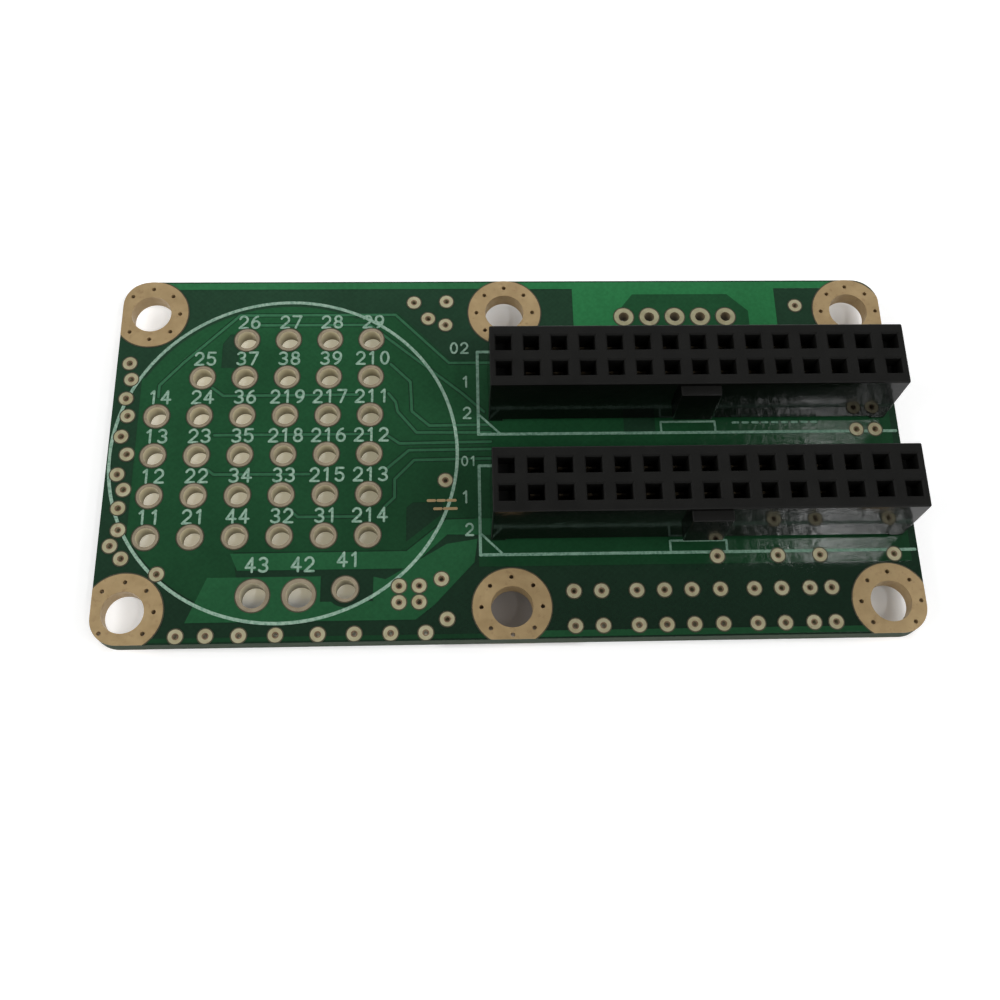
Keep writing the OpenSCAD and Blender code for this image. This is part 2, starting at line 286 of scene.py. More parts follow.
class Maker:
    """A material with its Principled shader and short ways to add nodes."""

    def __init__(self, name):
        self.material = bpy.data.materials.new(name)
        self.material.use_nodes = True
        self.tree = self.material.node_tree
        self.shader = self.tree.nodes["Principled BSDF"]
        self.where = self.add("ShaderNodeTexCoord").outputs["Object"]

    def add(self, kind, **values):
        node = self.tree.nodes.new(kind)
        for key, value in values.items():
            setattr(node, key, value)
        return node

    def link(self, source, target):
        self.tree.links.new(source, target)

    def feed(self, socket, value):
        """Gives a socket a link, a colour or a number."""
        if hasattr(value, "links"):
            self.link(value, socket)
        else:
            socket.default_value = value

    def put(self, **values):
        """Sets inputs of the shader by name, with _ for a space."""
        for key, value in values.items():
            self.feed(self.shader.inputs[key.replace("_", " ")], value)

    def noise(self, size_mm, detail=2.0, rough=0.5, stretch=(1, 1, 1)):
        """Noise from 0 to 1 whose blotches are about size_mm across."""
        scale = self.add("ShaderNodeMapping")
        scale.inputs["Scale"].default_value = stretch
        self.link(self.where, scale.inputs["Vector"])
        node = self.add("ShaderNodeTexNoise")
        node.inputs["Scale"].default_value = 1 / (size_mm * MM)
        node.inputs["Detail"].default_value = detail
        node.inputs["Roughness"].default_value = rough
        self.link(scale.outputs["Vector"], node.inputs["Vector"])
        return node.outputs["Fac"]

    def ramp(self, value, stops):
        """Colours between (place, colour) stops."""
        node = self.add("ShaderNodeValToRGB")
        ramp = node.color_ramp
        while len(ramp.elements) < len(stops):
            ramp.elements.new(0.5)
        for element, (place, colour) in zip(ramp.elements, stops):
            element.position = place
            element.color = (*colour, 1)
        self.link(value, node.inputs["Fac"])
        return node.outputs["Color"]

    def grey(self, value, low, high, start=0.3, end=0.7):
        """A number that goes from low to high while value goes from start to end."""
        node = self.add("ShaderNodeMapRange")
        for key, number in (("From Min", start), ("From Max", end), ("To Min", low),
                            ("To Max", high)):
            node.inputs[key].default_value = number
        self.link(value, node.inputs["Value"])
        return node.outputs["Result"]

    def mix(self, factor, a, b, blend="MIX"):
        node = self.add("ShaderNodeMix", data_type="RGBA", blend_type=blend)
        for place, value in ((MIX_FACTOR, factor), (MIX_A, a), (MIX_B, b)):
            self.feed(node.inputs[place], (*value, 1) if isinstance(value, tuple) else value)
        return node.outputs[MIX_RESULT]

    def place(self):
        """The object coordinates X, Y and Z, in metres."""
        parts = self.add("ShaderNodeSeparateXYZ")
        self.link(self.where, parts.inputs["Vector"])
        return [parts.outputs[axis] for axis in "XYZ"]

    def scaled(self, colour, factor):
        """A colour, fixed or from a socket, times a number from a socket."""
        node = self.add("ShaderNodeVectorMath", operation="SCALE")
        self.feed(node.inputs[0], colour)
        self.link(factor, node.inputs["Scale"])
        return node.outputs["Vector"]

    def math(self, operation, *values):
        node = self.add("ShaderNodeMath", operation=operation)
        for socket, value in zip(node.inputs, values):
            self.feed(socket, value)
        return node.outputs["Value"]

    def up(self):
        """1 on faces that look up or down, 0 on side faces."""
        parts = self.add("ShaderNodeSeparateXYZ")
        normal = self.add("ShaderNodeTexCoord").outputs["Normal"]
        self.link(normal, parts.inputs["Vector"])
        return self.math("GREATER_THAN", self.math("ABSOLUTE", parts.outputs["Z"]), LEVEL)

    def bump(self, height, distance_mm, strength):
        node = self.add("ShaderNodeBump")
        node.inputs["Strength"].default_value = strength
        node.inputs["Distance"].default_value = distance_mm * MM
        self.link(height, node.inputs["Height"])
        self.put(Normal=node.outputs["Normal"])

    def weave(self):
        """Crossed glass threads, from 0 to 1."""
        x, y, _ = self.place()
        turn = 2 * math.pi / (WEAVE_PITCH * MM)
        across = self.math("SINE", self.math("MULTIPLY", x, turn))
        along = self.math("SINE", self.math("MULTIPLY", y, turn * WEAVE_RATIO))
        both = self.math("MULTIPLY", across, along)
        return self.math("MULTIPLY_ADD", both, 0.5, 0.5)


def solder_mask_with_painted_light(name, colour, spread, weave_share, edge=False):
    """Green lacquer: painted light that makes it lighter to the rear and left, slow drifts, faint
    threads, fine ripple.

    With edge, the side faces are the laminate's cut edge: darker, dull and fibrous.
    """
    m = Maker(name)
    low, high = tone(colour, 1 - spread), tone(colour, 1 + spread)
    drift = m.ramp(m.noise(9, detail=3), [(0.3, low), (0.7, high)])
    x, y, _ = m.place()
    # Painted light: the green's tone is scaled up to the left and rear.
    along = m.math("MULTIPLY_ADD", x, -PAINTED_LIGHT_SLOPE_X, PAINTED_LIGHT_MID)
    painted_light_slope = m.math("MULTIPLY_ADD", y, PAINTED_LIGHT_SLOPE_Y, along)
    speck = m.ramp(m.noise(0.35), greys((0.35, 0.88), (0.65, 1.1)))
    tint = m.mix(0.6, m.scaled(drift, painted_light_slope), speck, "MULTIPLY")
    threads = m.ramp(m.weave(), greys((0.0, 0.8), (1.0, 1.16)))
    tint = m.mix(weave_share, tint, threads, "MULTIPLY")
    if edge:
        level = m.up()
        fibres = m.noise(0.09, detail=3, rough=0.6, stretch=(0.05, 0.05, 1.6))
        sides = m.ramp(fibres, [(0.25, (0.008, 0.020, 0.008)), (0.5, (0.018, 0.036, 0.016)),
                                (0.75, (0.044, 0.060, 0.032))])
        tint = m.mix(level, sides, tint)
        rough = m.math("MULTIPLY_ADD", level, FACE_ROUGH - SIDE_ROUGH, SIDE_ROUGH)
    else:
        rough = m.grey(m.noise(4, detail=3), 0.11, 0.17)
    m.put(Base_Color=tint, Roughness=rough, IOR=1.5)
    m.bump(m.noise(1.2, detail=3), 0.045, 0.6)
    return m.material


def plating(name, bright, dull, stain, rough, share=0.5, metal=0.4, wall=None):
    """Dull gold or tin: cloudy tone, a share of brown stains, fine rubbing marks.

    With wall, the side faces have that tone instead, set apart from the rim's as painted light
    and shade, and get darker with depth as painted shade.
    """
    m = Maker(name)
    clouds = m.ramp(m.noise(1.6, detail=3), [(0.3, dull), (0.7, bright)])
    spots = m.grey(m.noise(0.45, detail=3, rough=0.6), 0, 1, 0.58, 0.76)
    colour = m.mix(m.math("MULTIPLY", spots, share), clouds, stain)
    if wall:
        # Painted shade and light: the wall's tone goes from darker at the bottom to lighter at
        # the top.
        depth = m.grey(m.place()[2], WALL_PAINTED_SHADE_LOW, WALL_PAINTED_LIGHT_HIGH, UNDER * MM, TOP * MM)
        colour = m.mix(m.up(), m.scaled(wall, depth), colour)
    m.put(Base_Color=colour, Metallic=metal,
          Roughness=m.grey(m.noise(0.5, detail=3), rough - 0.08, rough + 0.12))
    m.bump(m.noise(0.05, stretch=(1, 0.12, 1)), 0.004, 0.3)
    return m.material


def moulding(name, depth, dusty, rough, rough_size, specular, grain, relief):
    """Black plastic with specks of dust.

    depth scales the base tone; rough is the lowest and highest roughness; grain is the size
    and detail of the surface's noise, and relief its height and strength.
    """
    m = Maker(name)
    dark, light = PLASTIC
    body = m.ramp(m.noise(2.2, detail=3), [(0.3, tone(dark, depth)), (0.7, tone(light, depth))])
    specks = m.grey(m.noise(0.07, rough=0.7), 0, 1, 0.66, 0.8)
    m.put(Base_Color=m.mix(m.math("MULTIPLY", specks, dusty), body, DUST),
          Roughness=m.grey(m.noise(rough_size), *rough), IOR=1.52, Specular_IOR_Level=specular)
    m.bump(m.noise(*grain), *relief)
    return m.material


def legend_ink(name, thin, full):
    """Pale screen-printed ink, thin enough for the green to show in places."""
    m = Maker(name)
    m.put(Base_Color=m.ramp(m.noise(0.22, detail=3, rough=0.6), [(0.32, thin), (0.6, full)]),
          Roughness=m.grey(m.noise(0.3), 0.45, 0.6))
    m.bump(m.noise(0.12), 0.006, 0.4)
    return m.material


# Each lacquer below carries the painted light that lightens it to the rear and left.
MASK_BARE = solder_mask_with_painted_light("mask_over_laminate_painted_light", (0.0108, 0.0335, 0.0176), 0.10, 0.25, edge=True)
MASK_MID = solder_mask_with_painted_light("mask_over_copper_painted_light", (0.0100, 0.053, 0.0205), 0.14, 0.15)
MASK_POWER = solder_mask_with_painted_light("mask_over_power_pour_painted_light", (0.0175, 0.096, 0.037), 0.10, 0.12)
MASK_BRIGHT = solder_mask_with_painted_light("mask_over_plane_painted_light", (0.0180, 0.127, 0.043), 0.12, 0.1)
MASK_TRACE = solder_mask_with_painted_light("mask_over_trace_painted_light", (0.0250, 0.096, 0.046), 0.08, 0.1)
GOLD = plating("land_gold", (0.45, 0.325, 0.165), (0.37, 0.258, 0.125), (0.20, 0.10, 0.045),
               rough=0.45, share=0.4, metal=0.35)
# The pads' and the header holes' wall tones are painted light and shade of their own plating.
PAD = plating("pad_plating_painted_wall_light_and_shade", (0.38, 0.32, 0.225), (0.29, 0.24, 0.165), (0.16, 0.09, 0.05),
              rough=0.42, wall=(0.53, 0.485, 0.35))
VIA = plating("via_plating", (0.51, 0.48, 0.32), (0.41, 0.37, 0.215), (0.26, 0.15, 0.09),
              rough=0.42)
PIN_HOLE = plating("header_plating_painted_wall_light_and_shade", (0.43, 0.41, 0.26), (0.34, 0.31, 0.18), (0.26, 0.15, 0.09),
                   rough=0.42, wall=(0.30, 0.24, 0.15))
MOUTH = plating("via_mouth", (0.24, 0.155, 0.095), (0.15, 0.085, 0.05), (0.07, 0.035, 0.02),
                rough=0.5)
# The contacts' plating is painted very dark: painted shade of the deep windows they sit in.
SPRING_PAINTED_SHADE = plating("contact_spring_painted_shade", (0.066, 0.050, 0.025), (0.045, 0.032, 0.015),
                 (0.03, 0.018, 0.009), rough=0.5, share=0.25, metal=0.5)
TIN = plating("solder_tin", (0.62, 0.62, 0.63), (0.48, 0.48, 0.50), (0.3, 0.29, 0.28),
              rough=0.22, share=0.2, metal=0.8)
RIM = plating("mask_opening", (0.060, 0.050, 0.024), (0.030, 0.028, 0.014),
              (0.02, 0.012, 0.008), rough=0.5, share=0.5, metal=0.0)
BLACK = moulding("socket_moulding", depth=1.0, dusty=0.16, rough=(0.46, 0.6), rough_size=0.12,
                 specular=0.14, grain=(0.1, 2), relief=(0.006, 0.35))
# The polished sides have half the tone of the top: painted shade; their gloss is real.
POLISHED_PAINTED_SHADE = moulding("socket_moulding_side_painted_shade", depth=0.5, dusty=0.03, rough=(0.09, 0.13),
                    rough_size=3, specular=0.12, grain=(1.0, 3), relief=(0.034, 0.5))
INK = legend_ink("legend_ink", (0.11, 0.23, 0.16), (0.28, 0.41, 0.32))
FAINT = legend_ink("legend_ink_faint", (0.06, 0.15, 0.10), (0.18, 0.31, 0.23))

# A CAD node takes the first finish whose word is in its name.
FINISHES = [("board", MASK_BARE), ("mount_land_", GOLD), ("wire_pads_row_", PAD),
            ("supply_pad_", PAD), ("_socket_pads", PAD), ("header_pads", PIN_HOLE),
            ("via", VIA), ("_socket_solder", TIN), ("_contacts_", SPRING_PAINTED_SHADE),
            ("_housing", BLACK), ("_cross_walls", BLACK)]
for name in NAMES:
    material = next(finish for part, finish in FINISHES if part in name)
    obj = frame["nodes"][name]
    if not obj.material_slots:
        obj.data.materials.append(material)
    for held in obj.material_slots:
        held.material = material


# ------------------------------------------------------------------ sockets

NEAR = 0.01           # tolerance for levels read from a node's vertices
INNER = 0.2           # the ends' blind windows are looked for this far from the walls
BODY_R, KEY_R, FOOT_R = 0.16, 0.14, 0.1      # rounding of the edges
KEY_ROOT, FOOT_ROOT = 0.6, 0.5               # how far the key and the feet reach into the body
LIP = 0.14            # lead-in chamfer of a window
OVER = 0.2            # how far the windows' cutters stand above the top
SKIN = 0.05           # a face this near the outside belongs to an outer side
STEEP = 0.6           # greatest height of its normal


def cuboid(low, high, into):
    """Adds a box between two corners, in millimetres, and returns its new edges."""
    made = bmesh.ops.create_cube(into, size=1)["verts"]
    centre, size = (low + high) / 2 * MM, (high - low) * MM
    bmesh.ops.scale(into, vec=size, verts=made)
    bmesh.ops.translate(into, vec=centre, verts=made)
    return list({edge for vert in made for edge in vert.link_edges})


def combine(target, others):
    """Applies booleans to target, removes the objects that it used, returns the mesh."""
    for other, operation in others:
        modifier = target.modifiers.new(other.name, "BOOLEAN")
        modifier.operation = operation
        modifier.solver = "EXACT"
        modifier.object = other
    bpy.context.view_layer.update()
    shape = target.evaluated_get(bpy.context.evaluated_depsgraph_get())
    mesh = bpy.data.meshes.new_from_object(shape)
    for obj in [target] + [other for other, _ in others]:
        bpy.data.objects.remove(obj, do_unlink=True)
    return mesh


def bevelled_box(name, low, high, radius, segments=3):
    work = bmesh.new()
    edges = cuboid(low, high, work)
    bmesh.ops.bevel(work, geom=edges, offset=radius * MM, segments=segments, profile=0.5,
                    affect="EDGES")
    return loose_object(name, work)


def funnel(x, y, half, floor, top, into):
    """Adds a square cutter that flares by LIP at the top face."""
    rings = []
    for z, reach in ((floor, half), (top - LIP, half), (top + OVER, half + LIP + OVER)):
        corners = ((-1, -1), (1, -1), (1, 1), (-1, 1))
        rings.append([into.verts.new(((x + reach * i) * MM, (y + reach * j) * MM, z * MM))
                      for i, j in corners])
    into.faces.new(rings[0][::-1])
    into.faces.new(rings[-1])
    for lower, upper in zip(rings, rings[1:]):
        for i in range(4):
            j = (i + 1) % 4
            into.faces.new([lower[i], lower[j], upper[j], upper[i]])


def socket(side):
    """A moulded socket body with softened edges and lead-in chamfers on its windows.

    Returns the Y of its front and rear faces.
    """
    node = f"{side}_socket_housing"
    low, high = box(node)
    points = node_points(node)
    contacts = sorted(n for n in NAMES if n.startswith(f"{side}_contacts_"))
    columns = [mid(n, 0) for n in contacts]
    pitch = columns[1] - columns[0]
    middle_y = mid(contacts[0], 1)
    face_y = 2 * middle_y - high.y
    wall_low, wall_high = box(f"{side}_socket_cross_walls")
    wall = wall_high.x - wall_low.x - (len(columns) - 2) * pitch
    half = (pitch - wall) / 2
    foot_top = min(p.z for p in points if low.z + NEAR < p.z)
    foot_l = max(p.x for p in points if p.z < foot_top - NEAR and p.x < columns[0]) - low.x
    key_low, key_high = span(p for p in points if p.y < face_y - NEAR)
    trough = columns[0] - half
    blind = max(p.z for p in points
                if low.x + INNER < p.x < trough - INNER and high.z - NEAR > p.z)

    body = bevelled_box("body", Vector((low.x, face_y, foot_top)), high, BODY_R)
    key = bevelled_box("key", key_low, Vector((key_high.x, face_y + KEY_ROOT, key_high.z)), KEY_R)
    feet = [bevelled_box(f"foot_{i}", Vector((x, face_y, low.z)),
                         Vector((x + foot_l, high.y, foot_top + FOOT_ROOT)), FOOT_R, 2)
            for i, x in enumerate((low.x, high.x - foot_l))]
    cutter = bmesh.new()
    for y in (middle_y - pitch / 2, middle_y + pitch / 2):
        for x in columns:
            funnel(x, y, half, wall_low.z, high.z, cutter)
        for x in (columns[0] - pitch, columns[-1] + pitch):
            funnel(x, y, half, blind, high.z, cutter)
    windows = loose_object("windows", cutter)
    work = bmesh.new()
    work.from_mesh(combine(body, [(add, "UNION") for add in (key, *feet)]
                           + [(windows, "DIFFERENCE")]))
    made = piece(f"{side}_socket", work, BLACK, smooth=True)
    made.data.materials.append(POLISHED_PAINTED_SHADE)
    for face in made.data.polygons:
        outer = face.center.y < (face_y + SKIN) * MM or face.center.y > (high.y - SKIN) * MM
        outer = outer or not (low.x + SKIN) * MM < face.center.x < (high.x - SKIN) * MM
        if outer and abs(face.normal.z) < STEEP:
            face.material_index = 1
    shading = made.modifiers.new("flat_faces", "WEIGHTED_NORMAL")
    shading.keep_sharp = True
    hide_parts(node, f"{side}_socket_cross_walls")
    return face_y, high.y


SOCKETS = {side: socket(side) for side in ("front", "rear")}


# ------------------------------------------------------------------- copper

BITE = 0.01           # how far a sheet is sunk into what it lies on
COPPER_H = 0.035      # height of the copper below its lacquer
MARGIN = 0.16         # bare laminate along the board's edge
CLEAR = 0.13          # gap around a pad
SUPPLY_CLEAR = 0.5    # gap around the third supply pad
TUCK = 0.1            # how far copper reaches under a pad that it joins
LAND_TUCK = 0.15      # and under a land
TRACE_W = 0.26
TRACE_GAP = 0.2       # what a trace clears of the field, both sides together
UNDER_MARGIN, UNDER_CLEAR = 0.5, 0.25     # MARGIN and CLEAR below the board
UNDER_TRACE_W, UNDER_GAP_W = 0.5, 0.9     # a trace below, and what it clears
STUB = 3.2            # a trace below runs straight for this far
LEAN = 0.8            # and then slants by this much in X for each millimetre in Y
CIRCLE = (-20.87, -0.01, 16.10)       # centre X, centre Y and radius of the printed circle

cx, cy, cr = CIRCLE
FIELD = (
    [(-34.7, -8.4), (-34.7, 7.9)] + arc(cx, cy, cr - 0.45, cr - 0.45, 149, 66, 24)
    + [(-10.55, 14.98), (-5.38, 9.68), (RIGHT - 0.7, 9.68), (RIGHT - 0.7, -11.15),
       (-2.9, -11.15), (-2.9, -8.5), (-3.2, -6.45), (-5.95, -6.5), (-9.5, -9.5), (-25.0, -9.5),
       (-24.6, -12.2), (-27.0, -12.2)] + arc(cx, cy, cr - 0.3, cr - 0.3, 243, 214, 8)
)
BAND = [(-25.3, -9.62), (-9.45, -9.58), (-5.85, -6.62), (-3.2, -6.55), (-1.0, -6.55),
        (-1.0, -8.15), (-5.75, -8.05), (-9.2, -11.22), (-24.6, -11.22)]
POWER = [(-27.2, -11.85), (-28.9, -15.95), (-8.6, -15.95), (-6.9, -14.6), (-3.3, -10.7),
         (-3.0, -8.5), (-5.8, -8.95), (-11.3, -12.2), (-12.4, -11.95), (-12.4, -14.2),
         (-17.1, -14.2), (-17.1, -11.85)]
REAR_BAND = [(1.0, 17.55), (33.5, 17.55), (33.5, 18.6), (1.0, 18.6)]
REAR_STRIP = [(-33.5, 17.6), (0.98, 17.6), (0.98, 18.6), (-33.5, 18.6)]
REAR_PLANE = [(6.8, 9.9), (27.1, 9.9), (27.1, 17.7), (6.8, 17.7)]
HEADER_ZONE = [(11.3, 9.9), (11.3, 15.0), (12.8, 16.9), (22.3, 16.9), (24.3, 15.0),
               (24.3, 9.9)]
FRONT_LINE = [(1.0, -17.12), (33.5, -17.12), (33.5, -18.6), (1.0, -18.6)]
FRONT_STRIP = [(-33.5, -17.3), (0.98, -17.3), (0.98, -18.6), (-33.5, -18.6)]
GAPS = [
    [(-27.3, 9.0), (-25.7, 9.0), (-25.7, 12.6), (-26.6, 12.6), (-27.3, 11.6)],
    [(-9.5, -5.4), (-8.9, -4.9), (-6.2, -4.9), (-6.0, -5.9), (-9.5, -8.7)],
    [(11.1, 1.95), (14.1, 1.95), (14.1, 3.4), (11.1, 3.4)],
]
TRACES = [
    [(-33, 6), (-33, 7.2), (-30.9, 9.6), (-25.8, 14.7), (-10.7, 14.7), (-5.5, 9.4),
     (-1.3, 9.4)],
    [(-23.8, 13.6), (-13.2, 13.6), (-4.2, 6.1), (-2.2, 4.2)],
    [(-11.1, 9.3), (-9.2, 7.4), (-9.05, 4.3), (-7.4, 2.8), (-1.6, 2.85)],
    [(-11.3, 6.2), (-10.6, 5.3), (-10.4, 4.3), (-8.6, 2.1), (-1.6, 2.05)],
    [(-11.3, 1.8), (-10.2, 1.0), (-1.6, 1.1)],
    [(-11.3, -1.5), (-9.3, 0.3), (-1.6, 0.35)],
    [(-11.5, -5.3), (-10.6, -4.4), (-10.6, -2.6), (-8.8, -0.7), (-1.6, -0.6)],
    [(-28, 6.9), (-26.9, 6.05), (-14.2, 6.1)],
    [(-27.5, 2.0), (-13, 2.0)],
    [(-28, -1.4), (-27.3, -1.95), (-18.5, -2.0)],
    [(-20.4, -5.3), (-19.4, -6.2), (-13.7, -6.2)],
]


def tracks(traces, width, gap_width):
    """The strokes of some traces, and the wider ones that clear the field beside them."""
    return [shape for trace in traces
            for shape in stroke(trace, width, "trace", 4) + stroke(trace, gap_width, "beside", 4)]


def is_trace(k):
    return "board" in k and "trace" in k and "hole" not in k


def is_plane(k):
    return "board" in k and not k & {"hole", "apart", "beside", "gap"}


def copper(name, rule, material, shapes, low=TOP - BITE, high=TOP + COPPER_H):
    work = bmesh.new()
    slab(shapes, rule, low, high, work)
    return piece(name, work, material)


upper = [("board", rounded_outline(MARGIN)), ("mid", FIELD), ("mid", HEADER_ZONE),
         ("zone", HEADER_ZONE), ("power", BAND), ("power", POWER), ("bright", REAR_PLANE),
         ("bright", REAR_BAND), ("power", REAR_STRIP), ("power", FRONT_LINE),
         ("mid", FRONT_STRIP)]
upper += [("gap", gap) for gap in GAPS]
upper += tracks(TRACES, TRACE_W, TRACE_W + TRACE_GAP)
upper += holes(flat(wire_rows), CLEAR, "apart")
upper += holes(supply_pads[:2], -TUCK) + holes(supply_pads[2:], SUPPLY_CLEAR, "apart")
upper += holes(header_pads, CLEAR, "apart")
upper += holes(vias, -TUCK)
upper += holes(flat(socket_pads.values()), CLEAR, "apart")
upper += land_discs(-LAND_TUCK)
upper += holes(every_pad, -TUCK, count=24)
for name, rule, material in (
        ("copper_field", lambda k: is_plane(k) and "mid" in k and not k & {"trace", "power"},
         MASK_MID),
        ("copper_power", lambda k: is_plane(k) and "power" in k and "trace" not in k,
         MASK_POWER),
        ("copper_plane", lambda k: is_plane(k) and "bright" in k and not k & {"mid", "zone"},
         MASK_BRIGHT),
        ("copper_traces", is_trace, MASK_TRACE)):
    copper(name, rule, material, upper)

# Each trace below runs from the end of a row of wire holes along a lane of its own (its Y)
# to a tail of a socket (a node's pad, by its place in the sorted list).
LANES = ((-3.1, "front_socket_pads", 17), (-0.85, "front_socket_pads", 22),
         (3.05, "rear_socket_pads", 11), (10.3, "rear_socket_pads", 20))
under_traces = []
for (lane, pads, place), row in zip(LANES, wire_rows[1:5]):
    x, y, _ = row[-1]
    end_x, end_y, _ = socket_pads[pads][place]
    bend = abs(lane - y) * LEAN
    under_traces.append([(x, y), (x + STUB, y), (x + STUB + bend, lane),
                         (end_x - abs(end_y - lane), lane), (end_x, end_y)])
lower = [("board", rounded_outline(UNDER_MARGIN))]
lower += tracks(under_traces, UNDER_TRACE_W, UNDER_GAP_W)
for group in wire_rows + [supply_pads, header_pads] + list(socket_pads.values()):
    lower += holes(group, -TUCK) + holes(group, UNDER_CLEAR, "apart")
lower += holes(vias, -TUCK)
lower += land_discs(-LAND_TUCK)
for name, rule, material in (("copper_underside", is_plane, MASK_MID),
                             ("copper_underside_traces", is_trace, MASK_TRACE)):
    copper(name, rule, material, lower, UNDER - COPPER_H, UNDER + BITE)


# ------------------------------------------ openings of the lacquer, mouths

RIM_H = 0.040         # height of the bare ring around a pad
RIM_W = 0.11          # how far it shows around the pad
RIM_TUCK = 0.06       # how far it lies under the pad
HOLE_W = 0.4          # a via's hole
MOUTH_W = 0.1         # the darker ring around it
MOUTH_H = 0.006       # which stands this much above the via's own ring
TRIM = 0.02           # both stay this far inside the board's outline

PAD_TOP = box("vias_rear")[1].z
hole_edge = (HOLE_W - vias[0][2]) / 2
inside_board = [("board", rounded_outline(TRIM))]
ring_shapes = (holes(every_pad, RIM_W, "keep") + holes(every_pad, -RIM_TUCK, "cut")
               + land_discs(RIM_W, "keep") + land_discs(-RIM_TUCK, "cut") + inside_board)
mouth_shapes = (holes(vias, hole_edge + MOUTH_W, "keep") + holes(vias, hole_edge, "cut")
                + inside_board)


def is_kept(k):
    return "keep" in k and "board" in k and "cut" not in k


rims, mouths = bmesh.new(), bmesh.new()
slab(ring_shapes, is_kept, TOP - BITE, TOP + RIM_H, rims)
slab(ring_shapes, is_kept, UNDER - RIM_H, UNDER + BITE, rims)
slab(mouth_shapes, is_kept, TOP, PAD_TOP + MOUTH_H, mouths)
slab(mouth_shapes, is_kept, UNDER + TOP - PAD_TOP - MOUTH_H, UNDER, mouths)
piece("mask_openings", rims, RIM)
piece("via_mouths", mouths, MOUTH)


# ------------------------------------------------------------------- legend

GLYPHS = {
    "0": [arc(0.5, 0.5, 0.42, 0.5, 90, 450, 16)],
    "1": [[(0.2, 0.8), (0.52, 1.0), (0.52, 0.0)]],
    "2": [arc(0.5, 0.7, 0.42, 0.3, 165, -38) + [(0.06, 0.0), (0.96, 0.0)]],
    "3": [arc(0.47, 0.75, 0.4, 0.25, 150, -90), arc(0.47, 0.25, 0.45, 0.25, 90, -150)],
    "4": [[(0.68, 0.0), (0.68, 1.0), (0.04, 0.3), (0.98, 0.3)]],
    "5": [[(0.88, 1.0), (0.16, 1.0), (0.1, 0.56)] + arc(0.46, 0.32, 0.44, 0.32, 126, -150)],
    "6": [arc(0.5, 0.3, 0.42, 0.3, 90, 450), arc(0.86, 0.3, 0.78, 0.7, 180, 102, 8)],
    "7": [[(0.05, 1.0), (0.95, 1.0), (0.36, 0.0)]],
    "8": [arc(0.5, 0.76, 0.35, 0.24, 90, 450), arc(0.5, 0.27, 0.43, 0.27, 90, 450)],
    "9": [arc(0.5, 0.7, 0.42, 0.3, 90, 450), arc(0.14, 0.7, 0.78, 0.7, 0, -78, 8)],
}
CAP_H = 1.28          # height of the digits above the wire holes
GLYPH_W = 0.86        # their width
ADVANCE = 1.16        # step from one digit to the next
INK_W = 0.21          # width of their strokes
INK_H = 0.048         # height of the ink above the board
INK_MARGIN = 0.12     # bare strip along the board's edge
REACH = 1             # pads farther from a print than this don't cut it
OUTLINE_LIFT = 0.003  # prints that cross the circle stand above it by this much
NUMBER_LIFT = 0.006
BAR_LIFT = 0.009

# Plain numbers, in the places of the real labels.
ROW_LABELS = [
    ["11", "21", "44", "32", "31", "214"],
    ["12", "22", "34", "33", "215", "213"],
    ["13", "23", "35", "218", "216", "212"],
    ["14", "24", "36", "219", "217", "211"],
    ["25", "37", "38", "39", "210"],
    ["26", "27", "28", "29"],
]
ROW_SHIFT = 0.15                                   # a label's middle from its hole, in X
ROW_RISE = (1.95, 1.95, 1.95, 1.95, 2.0, 1.95)     # and in Y
SUPPLY_LABELS = (("43", 2.85), ("42", 2.85), ("41", 2.75))
SUPPLY_SHIFT = 0.25
SOCKET_LABELS = (      # digits, X and Y of their middle, height
    ("1", -3.87, 7.35, 1.1), ("2", -3.81, 4.08, 1.1), ("1", -4.0, -4.43, 1.1),
    ("2", -3.72, -7.6, 1.1), ("02", -4.5, 11.0, 1.1), ("01", -3.68, -0.85, 0.9))

CIRCLE_W, CIRCLE_SIDES = 0.30, 160
OUTLINE_X = -2.75     # left side of the sockets' outlines
OUTLINE_END = 0.3     # where their front line stops, from the board's right edge
OUTLINE_GAP = 1.35    # from a socket's faces to its outline
OUTLINE_W, MARK_W = 0.28, 0.20
HOOK = 1.3            # length of the outline's short line at the rear
CORNER_MARK = 2.1     # size of the mark at the first contact
NOTCH_X, NOTCH_Y = 2.6, 1.12          # half width and depth of the notch at the key
DASHES, DASH_L, DASH_STEP, DASH_W = 9, 0.5, 0.95, 0.22
DASH_X, DASH_Y = 21.6, 2.85           # start of the first dash
GOLD_BARS = ((-7.5, -6.9, -4.75), (-6.6, -6.0, -4.75), (-5.7, -5.0, -4.75),
             (-6.9, -6.3, -5.55), (-6.0, -4.9, -5.55))      # start X, end X, Y
GOLD_BAR_W = 0.26


def written(text, x, y, height=CAP_H):
    """Strokes of some digits whose middle is at x, y."""
    size = height / CAP_H
    total = ((len(text) - 1) * ADVANCE + GLYPH_W) * size
    out = []
    for place, letter in enumerate(text):
        start = x - total / 2 + place * ADVANCE * size
        for line in GLYPHS[letter]:
            points = [(start + px * GLYPH_W * size, y - height / 2 + py * height)
                      for px, py in line]
            out += stroke(points, INK_W * size, caps=4)
    return out


def printed(into, shapes, lift=0.0):
    """Adds strokes to the legend, cut where a pad is."""
    xs, ys = zip(*(p for _, points in shapes for p in points))
    near = [s for s in holes(every_pad, RIM_W) + land_discs(RIM_W)
            if any(min(xs) - REACH < x < max(xs) + REACH
                   and min(ys) - REACH < y < max(ys) + REACH for x, y in s[1])]
    slab(shapes + near + [("board", rounded_outline(INK_MARGIN))],
         lambda k: "keep" in k and "board" in k and not k & {"hole", "cut"},
         TOP - BITE, TOP + INK_H + lift, into)


